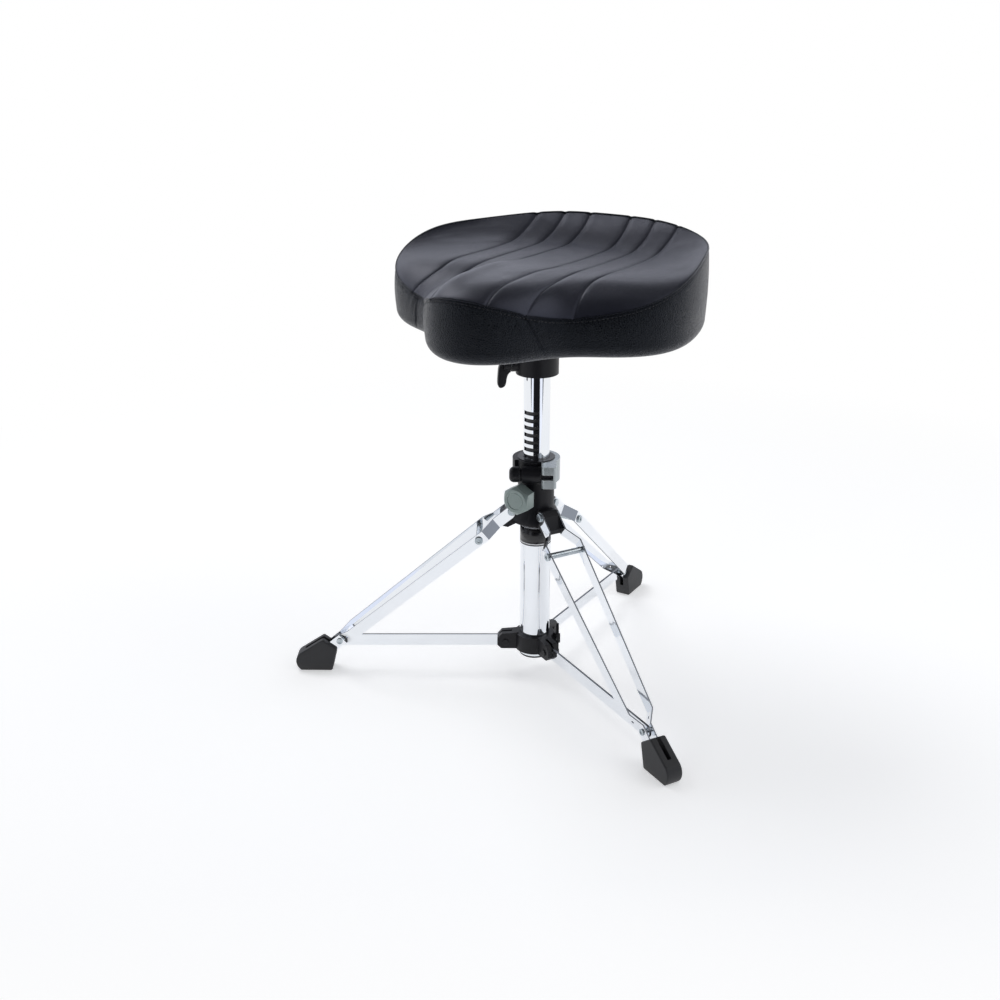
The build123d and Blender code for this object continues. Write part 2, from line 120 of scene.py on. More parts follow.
# points round each ring of the cushion's panels, and the distance between rings on top
FINE_GRID = (960, 1.3)
QUICK_GRID = (480, 2.6)
MEAN_RADIUS = 195
# in metres
LEATHER_THICKNESS = 0.0014

# a stitch in seven rings: share of its length, share of its thickness, and lift in radii
STITCH_RINGS = (
    (0.0, 0.25, -0.9), (0.08, 0.75, -0.35), (0.3, 1.0, 0.1), (0.5, 1.0, 0.2),
    (0.7, 1.0, 0.1), (0.92, 0.75, -0.35), (1.0, 0.25, -0.9),
)
STITCH_SPOKES = 8

# under the seat
CLOTH_INSET = 30.0
STAPLE_INSET = 34.0
STAPLE_RISE = 0.05
CLOTH_RISE = 0.2
CLOTH_SAG = 1.6
# the cloth lies flat within this radius, over the mounting plate
FLANGE_CLEAR = 75.0


# materials

EDGE_WEAR_GAIN = 5.0
# how squarely a face of a flat bar must look sideways to count as a broad face, which gets bright chrome; the
# other faces are darker
BROAD_FACE = 0.35
# rubber feet are dusty up to this height, in metres
DUST_HEIGHT = 0.012


def material(name):
    mat = bpy.data.materials.new(name)
    mat.use_nodes = True
    mat.node_tree.nodes.clear()
    return mat


def add(tree, kind, inputs=None, **settings):
    """Add a shader node; inputs are values or the sockets to link from."""
    node = tree.nodes.new("ShaderNode" + kind)
    for key, value in settings.items():
        setattr(node, key, value)
    for key, value in (inputs or {}).items():
        socket = node.inputs[key]
        if isinstance(value, bpy.types.NodeSocket):
            tree.links.new(value, socket)
        else:
            socket.default_value = value
    return node


def ramp(tree, factor, stops):
    """A colour ramp; each stop is a place and a colour of three values, or of one for a grey."""
    node = add(tree, "ValToRGB", {"Fac": factor})
    elements = node.color_ramp.elements
    while len(elements) < len(stops):
        elements.new(0.5)
    for element, (place, colour) in zip(elements, stops):
        element.position = place
        element.color = (*colour, 1) if len(colour) == 3 else (colour[0],) * 3 + (1,)
    return node.outputs["Color"]


def span(tree, value, low, high):
    """Map a 0 to 1 value onto low to high."""
    return add(tree, "MapRange", {"Value": value, "To Min": low, "To Max": high}).outputs["Result"]


def share_between(tree, value, start, end):
    """0 at start and 1 at end, and clamped outside them."""
    inputs = {"Value": value, "From Min": start, "From Max": end}
    return add(tree, "MapRange", inputs).outputs["Result"]


def coordinate(tree, place, axis):
    return add(tree, "SeparateXYZ", {"Vector": place}).outputs[axis]


def mixed(tree, factor, a, b):
    """Colour a at factor 0 and b at factor 1; each may be a value or a socket."""
    node = add(tree, "Mix", data_type="RGBA")
    for index, value in ((0, factor), (6, a), (7, b)):
        if isinstance(value, bpy.types.NodeSocket):
            tree.links.new(value, node.inputs[index])
        else:
            node.inputs[index].default_value = value if index == 0 else (*value, 1)
    return node.outputs[2]


def calc(tree, operation, a, b=0.0):
    return add(tree, "Math", {0: a, 1: b}, operation=operation).outputs[0]


def dot_product(tree, a, b):
    return add(tree, "VectorMath", {0: a, 1: b}, operation="DOT_PRODUCT").outputs["Value"]


def position(tree):
    return add(tree, "NewGeometry").outputs["Position"]


def object_place(tree):
    return add(tree, "TexCoord").outputs["Object"]


def noise(tree, place, size, detail=3.0, roughness=0.5):
    """Noise whose largest features measure about size metres."""
    inputs = {"Vector": place, "Scale": 1 / size, "Detail": detail, "Roughness": roughness}
    return add(tree, "TexNoise", inputs).outputs["Fac"]


def cells(tree, place, size):
    """Distance from the edges of cells that measure about size metres."""
    inputs = {"Vector": place, "Scale": 1 / size}
    return add(tree, "TexVoronoi", inputs, feature="DISTANCE_TO_EDGE").outputs["Distance"]


def bump(tree, height, depth, normal=None):
    """A normal bent by a height of 0 to 1 that stands for depth metres."""
    inputs = {"Height": height, "Distance": depth, "Strength": 1.0}
    if normal:
        inputs["Normal"] = normal
    return add(tree, "Bump", inputs).outputs["Normal"]


def output(tree, shader):
    add(tree, "OutputMaterial", {"Surface": shader})


def principled(tree, **inputs):
    """A principled shader; the inputs are named with underscores for spaces."""
    names = {key.replace("_", " "): value for key, value in inputs.items()}
    return add(tree, "BsdfPrincipled", names).outputs["BSDF"]


def edge_wear(tree, radius):
    """About 1 on sharp edges and 0 elsewhere."""
    soft = add(tree, "Bevel", {"Radius": radius}, samples=4).outputs["Normal"]
    sharp = add(tree, "NewGeometry").outputs["Normal"]
    bend = calc(tree, "SUBTRACT", 1.0, dot_product(tree, soft, sharp))
    return calc(tree, "MULTIPLY", bend, EDGE_WEAR_GAIN)


def chrome():
    mat = material("chrome_plate")
    tree = mat.node_tree
    place = object_place(tree)
    smear = noise(tree, place, 0.045, 4)
    dust = noise(tree, place, 0.004, 5, 0.7)
    ripple = bump(tree, noise(tree, place, 0.02, 1), 0.00004)
    fine = bump(tree, dust, 0.000012, ripple)
    rough = calc(tree, "ADD", span(tree, smear, 0.015, 0.07), span(tree, dust, 0.0, 0.02))
    tint = mixed(tree, smear, (0.80, 0.83, 0.87), (0.88, 0.90, 0.93))
    output(tree, principled(tree, Base_Color=tint, Metallic=1.0, Roughness=rough, Normal=fine))
    return mat


def strip_chrome(name, azimuth):
    """Chrome on the broad faces of a flat bar along an azimuth, and a darker, rougher metal on its narrow
    faces.
    """
    mat = chrome()
    mat.name = name
    tree = mat.node_tree
    turn = math.radians(azimuth)
    across = (-math.sin(turn), math.cos(turn), 0)
    facing = add(tree, "NewGeometry").outputs["Normal"]
    squareness = calc(tree, "ABSOLUTE", dot_product(tree, facing, across))
    broad = calc(tree, "GREATER_THAN", squareness, BROAD_FACE)
    # the narrow faces are coloured darker and rougher than the broad chrome faces
    grit = noise(tree, object_place(tree), 0.0008, 3)
    edge = principled(tree, Base_Color=(0.16, 0.17, 0.19, 1), Metallic=1.0, Roughness=0.34,
                      Normal=bump(tree, grit, 0.00004))
    surface = next(n for n in tree.nodes if n.type == "OUTPUT_MATERIAL").inputs["Surface"]
    plated = surface.links[0].from_socket
    blend = add(tree, "MixShader", {0: broad, 1: edge, 2: plated})
    tree.links.new(blend.outputs[0], surface)
    return mat


def zinc():
    mat = material("zinc_plated_steel")
    tree = mat.node_tree
    place = object_place(tree)
    cloud = noise(tree, place, 0.006, 4)
    grit = noise(tree, place, 0.0006, 2)
    tint = ramp(tree, cloud, [(0.3, (0.40, 0.46, 0.50)), (0.7, (0.62, 0.66, 0.68))])
    rough = span(tree, grit, 0.18, 0.38)
    normal = bump(tree, grit, 0.00003)
    output(tree, principled(tree, Base_Color=tint, Metallic=1.0, Roughness=rough, Normal=normal))
    return mat


def coated_casting(name, dark, light, roughness, metallic=0.0, shine=0.5):
    """Powder-coated die casting: orange peel, cloudy gloss and paler rubbed edges."""
    mat = material(name)
    tree = mat.node_tree
    place = object_place(tree)
    cloud = noise(tree, place, 0.012, 4)
    peel = noise(tree, place, 0.0009, 3)
    wear = calc(tree, "MULTIPLY", edge_wear(tree, 0.0008), noise(tree, place, 0.005, 5, 0.7))
    base = mixed(tree, cloud, dark, light)
    worn = tuple(min(1.0, 2.2 * c + 0.03) for c in light)
    colour = mixed(tree, calc(tree, "MINIMUM", wear, 0.8), base, worn)
    rough = span(tree, cloud, *roughness)
    normal = bump(tree, peel, 0.00005)
    shader = principled(
        tree, Base_Color=colour, Metallic=metallic, Roughness=rough, Normal=normal, Specular_IOR_Level=shine
    )
    output(tree, shader)
    return mat


def nylon():
    mat = material("moulded_nylon")
    tree = mat.node_tree
    place = object_place(tree)
    grain = noise(tree, place, 0.0012, 4)
    colour = mixed(tree, grain, (0.010, 0.010, 0.012), (0.022, 0.022, 0.026))
    rough = span(tree, noise(tree, place, 0.01, 3), 0.28, 0.42)
    shader = principled(tree, Base_Color=colour, Roughness=rough, Normal=bump(tree, grain, 0.00004))
    output(tree, shader)
    return mat


def rubber():
    mat = material("moulded_rubber")
    tree = mat.node_tree
    place = object_place(tree)
    grain = noise(tree, place, 0.0014, 5, 0.6)
    scuff = noise(tree, place, 0.018, 5, 0.65)
    near_floor = share_between(tree, coordinate(tree, position(tree), "Z"), DUST_HEIGHT, 0.0)
    dust = calc(tree, "MULTIPLY", near_floor, scuff)
    colour = mixed(tree, scuff, (0.012, 0.012, 0.014), (0.024, 0.025, 0.028))
    colour = mixed(tree, calc(tree, "MULTIPLY", dust, 0.5), colour, (0.09, 0.085, 0.08))
    rough = span(tree, scuff, 0.45, 0.68)
    shader = principled(tree, Base_Color=colour, Roughness=rough, Normal=bump(tree, grain, 0.0001))
    output(tree, shader)
    return mat


def label():
    """Glossy printed band: black with pale border lines and no lettering."""
    mat = material("label_print")
    tree = mat.node_tree
    low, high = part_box("label_band")
    share = share_between(tree, coordinate(tree, object_place(tree), "Z"), low.z, high.z)
    black, white = (0.008, 0.008, 0.01), (0.75, 0.76, 0.78)
    lines = ramp(tree, share, [(0.0, black), (0.06, white), (0.11, black), (0.90, white), (0.98, black)])
    lines.node.color_ramp.interpolation = "CONSTANT"
    scratches = noise(tree, object_place(tree), 0.003, 6, 0.8)
    rough = span(tree, scratches, 0.16, 0.34)
    shader = principled(tree, Base_Color=lines, Roughness=rough, Normal=bump(tree, scratches, 0.00002))
    output(tree, shader)
    return mat


def leather(name, pebble, depth, dark, light, roughness, shine, tint):
    """Coated leather: pebbles of a size and depth in metres with painted shade in the grooves between them,
    pores, soft folds and a cool sheen.
    """
    mat = material(name)
    tree = mat.node_tree
    place = object_place(tree)
    warp = add(tree, "TexNoise", {"Vector": place, "Scale": 1 / (3 * pebble)}).outputs["Color"]
    shift = add(tree, "VectorMath", {0: warp, 1: (pebble * 0.6,) * 3}, operation="MULTIPLY")
    bent = add(tree, "VectorMath", {0: place, 1: shift.outputs[0]}, operation="ADD").outputs[0]
    edge = cells(tree, bent, pebble)
    pebbles = ramp(tree, edge, [(0.0, (0,)), (0.12, (0.75,)), (0.4, (1,))])
    pores = noise(tree, place, pebble * 0.35, 3)
    folds = noise(tree, place, 0.03, 4)
    cloud = noise(tree, place, 0.07, 3)
    height = calc(tree, "ADD", pebbles, calc(tree, "MULTIPLY", pores, 0.35))
    normal = bump(tree, folds, 0.0006)
    normal = bump(tree, height, depth, normal)
    face = mixed(tree, cloud, dark, light)
    # painted shade: the grooves between the pebbles are coloured darker, as if shaded
    gap = tuple(0.45 * c for c in dark)
    colour = mixed(tree, pebbles, gap, face)
    rough = calc(tree, "SUBTRACT", span(tree, cloud, *roughness), calc(tree, "MULTIPLY", pebbles, 0.05))
    shader = principled(
        tree, Base_Color=colour, Roughness=rough, Normal=normal,
        Specular_IOR_Level=shine, Specular_Tint=(*tint, 1),
        Sheen_Weight=0.07, Sheen_Roughness=0.45, Sheen_Tint=(0.62, 0.66, 0.95, 1),
    )
    output(tree, shader)
    return mat


def thread():
    mat = material("twisted_thread")
    tree = mat.node_tree
    place = object_place(tree)
    inputs = {"Vector": place, "Scale": 900, "Distortion": 1.5}
    twist = add(tree, "TexWave", inputs, bands_direction="DIAGONAL").outputs["Fac"]
    colour = mixed(tree, twist, (0.003, 0.003, 0.004), (0.014, 0.014, 0.018))
    normal = bump(tree, twist, 0.00015)
    output(tree, principled(tree, Base_Color=colour, Roughness=0.7, Normal=normal, Sheen_Weight=0.3))
    return mat


def woven_cloth():
    """Black woven cloth with some lint, for the dust cover."""
    mat = material("woven_cover")
    tree = mat.node_tree
    place = object_place(tree)
    warp = add(tree, "TexWave", {"Vector": place, "Scale": 420}, bands_direction="X").outputs["Fac"]
    weft = add(tree, "TexWave", {"Vector": place, "Scale": 420}, bands_direction="Y").outputs["Fac"]
    weave = calc(tree, "MULTIPLY", warp, weft)
    lint = noise(tree, place, 0.002, 5, 0.7)
    colour = mixed(tree, weave, (0.004, 0.004, 0.005), (0.035, 0.035, 0.04))
    colour = mixed(tree, calc(tree, "MULTIPLY", lint, 0.3), colour, (0.06, 0.06, 0.065))
    normal = bump(tree, weave, 0.0003)
    output(tree, principled(tree, Base_Color=colour, Roughness=0.9, Normal=normal, Sheen_Weight=0.25))
    return mat


def plywood():
    mat = material("birch_ply")
    tree = mat.node_tree
    place = object_place(tree)
    inputs = {"Vector": place, "Scale": 120, "Distortion": 2}
    plies = add(tree, "TexWave", inputs, bands_direction="Z").outputs["Fac"]
    grain = noise(tree, place, 0.004, 6, 0.7)
    colour = mixed(tree, plies, (0.42, 0.27, 0.14), (0.62, 0.45, 0.27))
    output(tree, principled(tree, Base_Color=colour, Roughness=0.7, Normal=bump(tree, grain, 0.0002)))
    return mat


MATERIALS = {
    "chrome": chrome(),
    "zinc_steel": zinc(),
    "black_casting": coated_casting(
        "black_coat", (0.005, 0.005, 0.007), (0.011, 0.011, 0.014), (0.36, 0.5), shine=0.28
    ),
    "grey_green_casting": coated_casting(
        "grey_green_coat", (0.21, 0.265, 0.25), (0.29, 0.345, 0.33), (0.26, 0.4), metallic=0.3
    ),
    "grey_casting": coated_casting(
        "grey_coat", (0.33, 0.37, 0.38), (0.46, 0.50, 0.51), (0.22, 0.36), metallic=0.6
    ),
    "black_nylon": nylon(),
    "black_rubber": rubber(),
    "label": label(),
    "leather_top": leather(
        "leather_smooth", pebble=0.0013, depth=0.00010,
        dark=(0.0036, 0.0042, 0.008), light=(0.007, 0.008, 0.016), roughness=(0.29, 0.39),
        shine=0.55, tint=(0.76, 0.79, 1.0),
    ),
    "leather_side": leather(
        "leather_pebbled", pebble=0.0024, depth=0.0008,
        dark=(0.0016, 0.0020, 0.0030), light=(0.0035, 0.0045, 0.0065), roughness=(0.27, 0.37),
        shine=0.22, tint=(0.76, 0.86, 1.0),
    ),
    "piping": thread(),
    "foam": woven_cloth(),
    "plywood": plywood(),
    "dust_cloth": woven_cloth(),
}


# carried-over CAD parts

BEVEL_WIDTH = {
    "chrome": 0.00035,
    "zinc_steel": 0.0003,
    "black_casting": 0.0007,
    "grey_green_casting": 0.0006,
    "grey_casting": 0.0007,
    "black_nylon": 0.0005,
    "black_rubber": 0.0006,
}


def finish_cad_node(node):
    """Give a CAD part its finish, and break its sharp edges with a small bevel."""
    slot = node.material_slots[0].material.name.split(".")[0]
    for place in node.material_slots:
        place.material = MATERIALS[slot]
    mesh = node.data
    if "custom_normal" in mesh.attributes:
        mesh.attributes.remove(mesh.attributes["custom_normal"])
    mesh.polygons.foreach_set("use_smooth", [True] * len(mesh.polygons))
    weld = node.modifiers.new("weld", "WELD")
    weld.merge_threshold = 1e-5
    if slot in BEVEL_WIDTH:
        flat = node.modifiers.new("merge_flats", "DECIMATE")
        flat.decimate_type = "DISSOLVE"
        flat.angle_limit = math.radians(0.3)
        bevel = node.modifiers.new("bevel", "BEVEL")
        bevel.limit_method = "ANGLE"
        bevel.angle_limit = math.radians(32)
        bevel.width = BEVEL_WIDTH[slot]
        bevel.segments = 2
        bevel.harden_normals = True


for cad_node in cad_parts.values():
    finish_cad_node(cad_node)

LEG_AZIMUTHS = {"left": 180, "near": 300, "far": 60}
for side_name, leg_azimuth in LEG_AZIMUTHS.items():
    bar_finish = strip_chrome("flat_bar_" + side_name, leg_azimuth)
    for node_name in (f"leg_{side_name}_strips", f"strut_{side_name}"):
        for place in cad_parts[node_name].material_slots:
            place.material = bar_finish


# cushion

def series(terms, angle):
    return sum(c * np.cos(k * angle) for k, c in enumerate(terms))


def outline(angle):
    return series(OUTLINE_SERIES, angle)


def rise(u, height, place, spread):
    return height * bell(u - place, spread)


def top_height(u, v):
    """Height of the top above the seat's base, without its sewn channels."""
    angle = np.arctan2(v, u)
    reach = np.minimum(np.hypot(u, v) / outline(angle), 1.0)
    rim = RIM_SERIES[0] + sum(
        c * reach ** (k + RIM_REACH) * np.cos(k * angle) for k, c in enumerate(RIM_SERIES) if k
    )
    along = u / 200
    saddle = SADDLE[0] + SADDLE[1] * along + SADDLE[2] * along**2
    dip = sum(depth * bell(angle - at, CUTOUT_SPREAD) for at, depth in CUTOUT_DIPS)
    middle = rise(u, *MIDDLE_RISE) + rise(u, *REAR_SINK)
    pommel = rise(u, *POMMEL) * bell((v / POMMEL_HALF_WIDTH) ** 2, 1)
    rear_corners = rise(u, *REAR_CORNERS) * (v / REAR_CORNER_REACH) ** 2
    shaped = saddle + middle + pommel + rear_corners + nose_step(u, v)
    return rim + shaped * (1 - reach**6) - dip * (reach**4 - reach**10)


def nose_step(u, v):
    """The bulge of the nose beside one inner channel, and the fall beyond that channel."""
    away = v + CHANNEL_OFFSETS[0] + CHANNEL_FLARE[0] * u / FLARE_LENGTH
    share = np.clip((u - STEP_START) / (STEP_FULL - STEP_START), 0, 1)
    share = share * share * (3 - 2 * share)
    beyond = bell(np.minimum(away, 0), STEP_FADE) / (1 + np.exp(np.clip(away / STEP_EDGE, -30, 30)))
    bulge = bell(away - STEP_BULGE_SPREAD, STEP_BULGE_SPREAD)
    return share * (STEP_BULGE * bulge - STEP_DROP * beyond)


def bell(distance, width):
    """1 at no distance, falling smoothly to about a third at one width."""
    return np.exp(-((distance / width) ** 2))


def channels(u):
    """Where each sewn channel lies across the seat, at given places along it."""
    lines = []
    for offset, flare in zip(CHANNEL_OFFSETS, CHANNEL_FLARE):
        lines.append(offset + flare * u / FLARE_LENGTH)
        lines.append(-offset - flare * u / FLARE_LENGTH)
    lines[-1] = lines[-1] - CHANNEL_SWING * np.clip((u - SWING_START) / SWING_LENGTH, 0, SWING_CAP) ** 2
    return lines


def channel_dent(u, v):
    """Depth of the sewn channels."""
    dent = np.zeros_like(u)
    for line in channels(u):
        away = v - line
        dent += sum(depth * bell(away, width) for depth, width in (CREASE, SOFT_VALLEY))
    return dent


def to_frame(u, v, z):
    """Cushion millimetres to frame metres."""
    c, s = math.cos(NOSE_AZIMUTH), math.sin(NOSE_AZIMUTH)
    return np.stack([u * c - v * s, u * s + v * c, z + SEAT_BASE], axis=-1) * MM


def on_axis(height):
    """A point at a height on the seat's own axis, in the frame."""
    zero = np.zeros(1)
    return to_frame(zero, zero, zero + height)[0]


def top_grid(angle_count, ring_step, inset=0.0, detail=True):
    """Rings of the top panel from the centre to the rim seam, as U, V, Z arrays."""
    angle = np.linspace(0, 2 * math.pi, angle_count, endpoint=False)
    rings = int(MEAN_RADIUS / ring_step)
    reach = np.linspace(0, 1, rings + 1)[1:, None]
    radius = reach * (outline(angle) - inset)[None, :]
    u = radius * np.cos(angle)
    v = radius * np.sin(angle)
    z = top_height(u, v)
    edge = (1 - reach) * outline(angle)[None, :]
    z = z - EDGE_DROP * np.exp(-edge / 4.0) - inset * (1 - np.exp(-edge / 10))
    if detail:
        z = z - channel_dent(u, v) - SEAM_GROOVE * bell(edge, 1.3)
    return u, v, z


def side_profile(height):
    """Down the side from the seam, round the bottom edge and in under the seat.

    Gives arrays of the inset from the outline, of the height and of the distance gone down.
    """
    fall = height - BOTTOM_ROUND
    # the rows lie closer near the rim, where the hem and its stitches are
    steps = np.concatenate([np.linspace(0, 0.12, 9)[:-1], np.linspace(0.12, 1, 34)])
    below = steps[:, None] * fall[None, :]
    z = height[None, :] - below
    bulge = SIDE_BULGE * np.sin(math.pi * steps)[:, None]
    inset = SEAM_TUCK * np.exp(-below / 3.0) - bulge
    all_round = np.zeros_like(height)[None, :]
    turn = np.linspace(0, math.pi / 2, 11)[1:, None]
    curl_inset = BOTTOM_ROUND * (1 - np.cos(turn)) + all_round
    curl_z = UNDER_RISE + (BOTTOM_ROUND - UNDER_RISE) * (1 - np.sin(turn)) + all_round
    under = np.linspace(BOTTOM_ROUND, UNDER_REACH, 8)[1:, None]
    under_inset = under + all_round
    under_z = UNDER_RISE + 0 * under + all_round
    return (
        np.concatenate([inset, curl_inset, under_inset]),
        np.concatenate([z, curl_z, under_z]),
        np.concatenate([below, fall + BOTTOM_ROUND * turn, fall + 0.6 * BOTTOM_ROUND + under]),
    )


def side_grid(angle_count, inset=0.0, detail=True):
    """Rows of the side panel from the rim seam to the folded edge under the seat."""
    angle = np.linspace(0, 2 * math.pi, angle_count, endpoint=False)
    height = series(RIM_SERIES, angle) - EDGE_DROP
    inwards, z, below = side_profile(height)
    inwards = inwards + inset
    if detail:
        hem = HEM_THICKNESS * (1 / (1 + np.exp((below - TOP_STITCH_DROP) * 4)))
        inwards = inwards - hem + SEAM_GROOVE * bell(below - TOP_STITCH_DROP, 0.7)
        share = np.clip(below / height, 0, 1)
        for start, end in SIDE_SEAMS:
            middle = start + (end - start) * share
            away = (angle[None, :] - middle + math.pi) % (2 * math.pi) - math.pi
            away = away * outline(angle)[None, :]
            pucker = PUCKER * np.sin(away * 0.55 + 5 * share) * bell(away, 16) * (1 - share)
            seam = 1.3 * bell(away, 1.4) + 0.7 * bell(away, 6) - pucker
            inwards = inwards + seam * (1 - share**3)
    slope = np.gradient(outline(angle), angle)
    tangent = np.arctan2(slope, outline(angle))
    radius = outline(angle)[None, :]
    u = radius * np.cos(angle) - inwards * np.cos(angle - tangent)
    v = radius * np.sin(angle) - inwards * np.sin(angle - tangent)
    return u, v, z


def grid_mesh(name, points, first_centre=None, last_centre=None):
    """A mesh of rings that close on themselves, with an optional centre point at either end."""
    rings, count, _ = points.shape
    verts = points.reshape(-1, 3)
    column = np.arange(count)
    following = (column + 1) % count
    faces = []
    for ring in range(rings - 1):
        a, b = ring * count, (ring + 1) * count
        faces.append(np.stack([a + column, b + column, b + following, a + following], axis=1))
    faces = np.concatenate(faces).tolist()
    extra = []
    for centre, ring, flip in ((first_centre, 0, False), (last_centre, rings - 1, True)):
        if centre is None:
            continue
        index = len(verts) + len(extra)
        extra.append(centre)
        start = ring * count
        for here, there in zip(column + start, following + start):
            faces.append((index, there, here) if flip else (index, here, there))
    if extra:
        verts = np.concatenate([verts, np.array(extra)])
    mesh = bpy.data.meshes.new(name)
    mesh.from_pydata(verts.tolist(), [], faces)
    mesh.polygons.foreach_set("use_smooth", [True] * len(mesh.polygons))
    mesh.update()
    return mesh


def new_object(name, mesh, mat=None):
    obj = bpy.data.objects.new(name, mesh)
    bpy.context.scene.collection.objects.link(obj)
    if mat:
        mesh.materials.append(mat)
    return obj


def closed_pad():
    """A closed, slightly small pad for the cloth simulation."""
    top = to_frame(*top_grid(180, 5.0, PAD_SHRINK, detail=False))
    side = to_frame(*side_grid(180, PAD_SHRINK, detail=False))
    points = np.concatenate([top, side])
    zero = np.zeros(1)
    high = on_axis(top_height(zero, zero) - PAD_SHRINK)
    mesh = grid_mesh("pad_for_cloth", points, high, on_axis(UNDER_RISE))
    return new_object("pad_for_cloth", mesh)


def sewn_weight(u, v, z):
    """1 where the cover is sewn or stapled down, 0 where it is free to swell."""
    angle = np.arctan2(v, u)
    edge = outline(angle) - np.hypot(u, v)
    rim = series(RIM_SERIES, angle)
    hold = bell(np.hypot(edge, (z - rim) * 0.9), RIM_HOLD)
    # the channels are sewn on the top panel only
    on_top = (edge > 4) & (z > 40)
    for line in channels(u):
        hold = np.maximum(hold, bell(v - line, CHANNEL_HOLD) * on_top)
    # the bottom edge is folded under and stapled
    hold = np.maximum(hold, np.clip((12 - z) / 6, 0, 1))
    return np.clip(hold, 0, 1)


def from_frame(points):
    """Frame metres to cushion millimetres."""
    x, y = points[:, 0] / MM, points[:, 1] / MM
    c, s = math.cos(NOSE_AZIMUTH), math.sin(NOSE_AZIMUTH)
    return x * c + y * s, -x * s + y * c, points[:, 2] / MM - SEAT_BASE


def coordinates(mesh):
    flat = np.empty(len(mesh.vertices) * 3)
    mesh.vertices.foreach_get("co", flat)
    return flat.reshape(-1, 3)


def smoothed(ends, values, rounds):
    """Average values along a mesh's edges, given the two ends of each edge."""
    count = np.bincount(ends.ravel(), minlength=len(values))[:, None]
    for _ in range(rounds):
        total = np.zeros_like(values)
        np.add.at(total, ends[:, 0], values[ends[:, 1]])
        np.add.at(total, ends[:, 1], values[ends[:, 0]])
        values = 0.5 * values + 0.5 * total / np.maximum(count, 1)
    return values


def simulate_pad():
    """Swell the pad as sewn cloth. Gives its points at rest and how far each one moved."""
    pad = closed_pad()
    scene = bpy.context.scene
    remesh = pad.modifiers.new("remesh", "REMESH")
    remesh.mode = "VOXEL"
    remesh.voxel_size = PAD_VOXEL
    graph = bpy.context.evaluated_depsgraph_get()
    mesh = bpy.data.meshes.new_from_object(pad.evaluated_get(graph))
    bpy.data.objects.remove(pad)
    pad = new_object("pad_cloth", mesh)
    rest = coordinates(mesh)
    ends = np.array([edge.vertices[:] for edge in mesh.edges])
    hold = sewn_weight(*from_frame(rest))
    group = pad.vertex_groups.new(name="sewn")
    for index, weight in enumerate(hold):
        group.add([index], float(weight), "REPLACE")
    cloth = pad.modifiers.new("cloth", "CLOTH")
    cloth.settings.quality = 6
    cloth.settings.mass = 0.25
    cloth.settings.tension_stiffness = 18
    cloth.settings.compression_stiffness = 12
    cloth.settings.bending_stiffness = 1.5
    cloth.settings.use_pressure = True
    cloth.settings.uniform_pressure_force = 4
    cloth.settings.vertex_group_mass = "sewn"
    cloth.settings.effector_weights.gravity = 0
    for step in range(1, CLOTH_STEPS + 1):
        scene.frame_set(step)
    graph = bpy.context.evaluated_depsgraph_get()
    swollen = coordinates(pad.evaluated_get(graph).data)
    scene.frame_set(1)
    bpy.data.objects.remove(pad)
    move = smoothed(ends, swollen - rest, MOVE_SMOOTHING)
    length = np.linalg.norm(move, axis=1, keepdims=True)
    cap = PAD_SWELL_CAP * MM
    move = move * np.minimum(1, cap / np.maximum(length, 1e-9))
    return rest, move * (1 - hold[:, None])


def swell(points, rest, move):
    """Carry the simulated movement over to a finer mesh."""
    tree = KDTree(len(rest))
    for index, point in enumerate(rest):
        tree.insert(point, index)
    tree.balance()
    flat = points.reshape(-1, 3)
    result = np.empty_like(flat)
    for index, point in enumerate(flat):
        near = tree.find_n(point, SWELL_NEIGHBOURS)
        weights = np.array([math.exp(-((d / SWELL_SPREAD) ** 2)) + 1e-9 for _, _, d in near])
        shift = (move[[i for _, i, _ in near]] * weights[:, None]).sum(0) / weights.sum()
        result[index] = point + shift
    return result.reshape(points.shape)


def sample(points, ring, angle):
    """A point on a ring grid at a fractional ring and an angle."""
    rings, count, _ = points.shape
    low = int(np.clip(math.floor(ring), 0, rings - 2))
    part = ring - low
    column = (angle / (2 * math.pi) * count) % count
    left = int(column) % count
    right = (left + 1) % count
    share = column - int(column)
    a = points[low, left] * (1 - share) + points[low, right] * share
    b = points[low + 1, left] * (1 - share) + points[low + 1, right] * share
    return a * (1 - part) + b * part


def between(values, along, where):
    """A point or normal of a path at a distance from its start, given the distance of each of its points."""
    return np.array([np.interp(where, along, values[:, axis]) for axis in range(3)])


def stitches(name, path, normals, length, gap, radius, finish="piping"):
    """Short lengths of thread or wire laid end to end along a path of close points, all in metres."""
    steps = np.linalg.norm(np.diff(path, axis=0), axis=1)
    along = np.concatenate([[0], np.cumsum(steps)])
    total = along[-1]
    count = int(total / (length + gap))
    pitch = total / count
    # how far to look either way for the direction of the path
    look = 0.0005
    verts, faces = [], []
    for number in range(count):
        start = number * pitch + gap / 2
        base = len(verts)
        for share, size, lift in STITCH_RINGS:
            where = start + share * length
            reach = between(path, along, where + look) - between(path, along, where - look)
            forward = reach / max(np.linalg.norm(reach), 1e-9)
            up = between(normals, along, where)
            up = up - forward * (up @ forward)
            up = up / np.linalg.norm(up)
            side = np.cross(forward, up)
            centre = between(path, along, where) + up * radius * lift
            for spoke in range(STITCH_SPOKES):
                turn = 2 * math.pi * spoke / STITCH_SPOKES
                verts.append(centre + radius * size * (math.cos(turn) * side + math.sin(turn) * up))
        last = len(verts) - STITCH_SPOKES
        for low in range(base, last, STITCH_SPOKES):
            high = low + STITCH_SPOKES
            for spoke in range(STITCH_SPOKES):
                following = (spoke + 1) % STITCH_SPOKES
                faces.append((low + spoke, high + spoke, high + following, low + following))
        faces.append([base + spoke for spoke in range(STITCH_SPOKES)])
        faces.append([last + spoke for spoke in reversed(range(STITCH_SPOKES))])
    mesh = bpy.data.meshes.new(name)
    mesh.from_pydata([tuple(v) for v in verts], [], faces)
    mesh.polygons.foreach_set("use_smooth", [True] * len(mesh.polygons))
    mesh.update()
    piece = new_object(name, mesh, MATERIALS[finish])
    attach(piece, "seat")
    return piece


